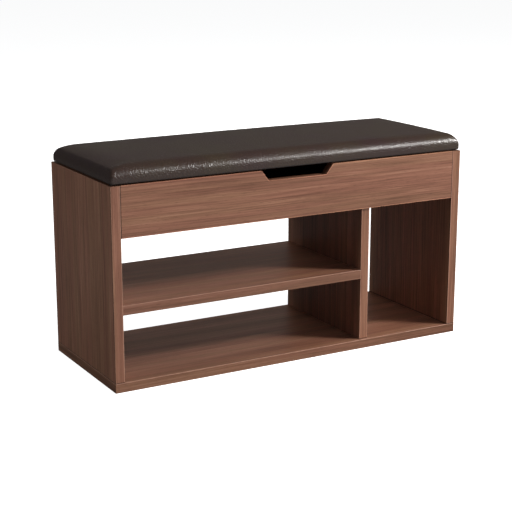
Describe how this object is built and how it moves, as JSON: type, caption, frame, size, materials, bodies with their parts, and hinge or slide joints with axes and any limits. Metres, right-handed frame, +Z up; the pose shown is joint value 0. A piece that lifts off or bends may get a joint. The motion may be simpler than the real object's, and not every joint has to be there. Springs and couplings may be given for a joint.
{
  "type": "entryway bench",
  "caption": "Shoe bench with open shelves, a shallow storage box behind a notched apron, and a padded flip-up seat.",
  "frame": {"origin": "on the floor, at the centre of the footprint", "axes": "+X to the right of someone facing the front, +Y from the front to the rear, +Z up"},
  "size_m": [0.8, 0.3, 0.44],
  "materials": {
    "walnut_board": "satin walnut-grain laminate on particleboard",
    "walnut_edging": "satin walnut-grain edging strip",
    "cap_plastic": "satin moulded cap",
    "leather": "semi-gloss pebbled artificial leather",
    "foam": "open-cell foam",
    "plywood": "raw plywood",
    "dust_cloth": "spun-bonded cloth",
    "beech": "raw beech",
    "zinc": "zinc plated",
    "hinge_steel": "nickel plated, satin",
    "stay_steel": "nickel plated, satin",
    "black_plastic": "fine matt",
    "bumper_rubber": "matt"
  },
  "bodies": {
    "case": {"base_panel": "walnut_board", "left_side_panel": "walnut_board", "right_side_panel": "walnut_board", "divider_panel": "walnut_board", "shelf_panel": "walnut_board", "storage_floor": "walnut_board", "front_apron": "walnut_board", "back_rail": "walnut_board", "base_edging": "walnut_edging", "left_side_edging": "walnut_edging", "right_side_edging": "walnut_edging", "divider_edging": "walnut_edging", "shelf_edging": "walnut_edging", "apron_edging": "walnut_edging", "back_rail_edging": "walnut_edging", "cam_locks": "zinc", "cam_bolts": "zinc", "cam_caps": "cap_plastic", "dowels": "beech", "case_screws": "zinc", "case_screw_caps": "cap_plastic", "left_hinge_case_leaf": "hinge_steel", "right_hinge_case_leaf": "hinge_steel", "left_hinge_pin": "hinge_steel", "right_hinge_pin": "hinge_steel", "hinge_case_screws": "zinc", "left_stay_plate": "stay_steel", "right_stay_plate": "stay_steel", "left_stay_damper": "black_plastic", "right_stay_damper": "black_plastic", "stay_case_screws": "zinc", "lid_bumpers": "bumper_rubber"},
    "seat": {"lid_board": "plywood", "seat_foam": "foam", "seat_cover": "leather", "dust_cover": "dust_cloth", "cover_staples": "zinc", "dust_cover_staples": "zinc", "left_hinge_lid_leaf": "hinge_steel", "right_hinge_lid_leaf": "hinge_steel", "hinge_lid_screws": "zinc", "left_stay_lid_bracket": "stay_steel", "right_stay_lid_bracket": "stay_steel", "left_stay_eye_pin": "zinc", "right_stay_eye_pin": "zinc", "stay_lid_screws": "zinc"},
    "left_arm": {"left_stay_arm": "stay_steel", "left_stay_elbow_rivet": "zinc"},
    "left_link": {"left_stay_link": "stay_steel"},
    "right_arm": {"right_stay_arm": "stay_steel", "right_stay_elbow_rivet": "zinc"},
    "right_link": {"right_stay_link": "stay_steel"}
  },
  "joints": [
    {"name": "lid_hinge", "type": "hinge", "parent": "case", "child": "seat", "pos_m": [0, 0.1473, 0.40015], "axis": [-1, 0, 0], "range_deg": [0, 85]},
    {"name": "left_arm_turn", "type": "hinge", "parent": "case", "child": "left_arm", "pos_m": [-0.381, 0.0973, 0.35115], "axis": [-1, 0, 0], "range_deg": [0, 85]},
    {"name": "left_link_turn", "type": "hinge", "parent": "left_arm", "child": "left_link", "pos_m": [-0.381, -0.0127, 0.33915], "axis": [-1, 0, 0], "range_deg": [-85, 0]},
    {"name": "right_arm_turn", "type": "hinge", "parent": "case", "child": "right_arm", "pos_m": [0.381, 0.0973, 0.35115], "axis": [-1, 0, 0], "range_deg": [0, 85]},
    {"name": "right_link_turn", "type": "hinge", "parent": "right_arm", "child": "right_link", "pos_m": [0.381, -0.0127, 0.33915], "axis": [-1, 0, 0], "range_deg": [-85, 0]}
  ],
  "couplings": [
    {"joint": "left_arm_turn", "follows": "lid_hinge", "ratio": 1},
    {"joint": "left_link_turn", "follows": "lid_hinge", "ratio": -1},
    {"joint": "right_arm_turn", "follows": "lid_hinge", "ratio": 1},
    {"joint": "right_link_turn", "follows": "lid_hinge", "ratio": -1}
  ]
}
